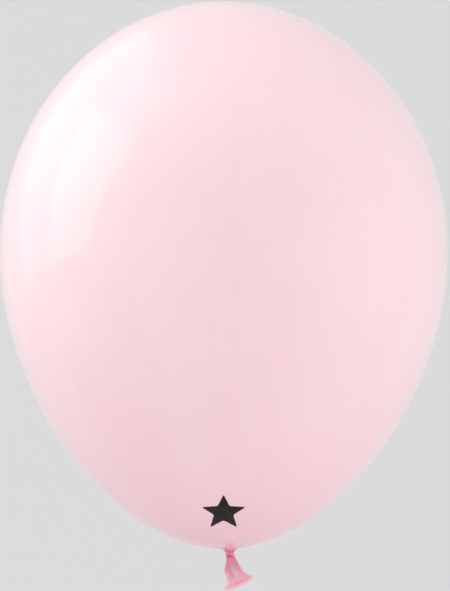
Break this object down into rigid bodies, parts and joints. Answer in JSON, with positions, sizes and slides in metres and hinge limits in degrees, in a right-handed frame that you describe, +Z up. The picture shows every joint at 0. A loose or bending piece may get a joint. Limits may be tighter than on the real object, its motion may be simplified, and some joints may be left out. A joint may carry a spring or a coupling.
{
  "type": "latex balloon",
  "caption": "Inflated round latex balloon tied off at the neck, with a small overhand knot and a flared hanging tail that ends in a rolled bead.",
  "frame": {"origin": "on the neck's own axis, in the middle of the groove between the inflated film and the knot", "axes": "+Z up the neck to the top of the balloon, +X to the side that the knot and tail lean to, -Y the printed front"},
  "size_m": [0.2999, 0.2998, 0.3954],
  "materials": {
    "film_stretched": "satin",
    "film_gathered": "satin",
    "film_knotted": "satin",
    "film_slack": "satin",
    "film_bead": "satin",
    "ink": "matte"
  },
  "bodies": {
    "neck": {"throat": "film_gathered"},
    "balloon": {"envelope": "film_stretched", "print_star": "ink"},
    "knot": {"knot_core": "film_knotted", "knot_wrap": "film_knotted"},
    "tail": {"tail": "film_slack", "lip_bead": "film_bead"}
  },
  "joints": [
    {"name": "neck_twist", "type": "hinge", "parent": "neck", "child": "balloon", "pos_m": [0, 0, 0], "axis": [0, 0, 1], "range_deg": [-90, 90], "stiffness_Nm_per_rad": 0.0005},
    {"name": "knot_rock", "type": "hinge", "parent": "neck", "child": "knot", "pos_m": [0, 0, -0.0024], "axis": [0, 1, 0], "range_deg": [-5, 40], "stiffness_Nm_per_rad": 0.00002},
    {"name": "tail_flap", "type": "hinge", "parent": "knot", "child": "tail", "pos_m": [0.0025, 0, -0.0067], "axis": [1, 0, 0], "range_deg": [-60, 60], "stiffness_Nm_per_rad": 0.00001}
  ]
}
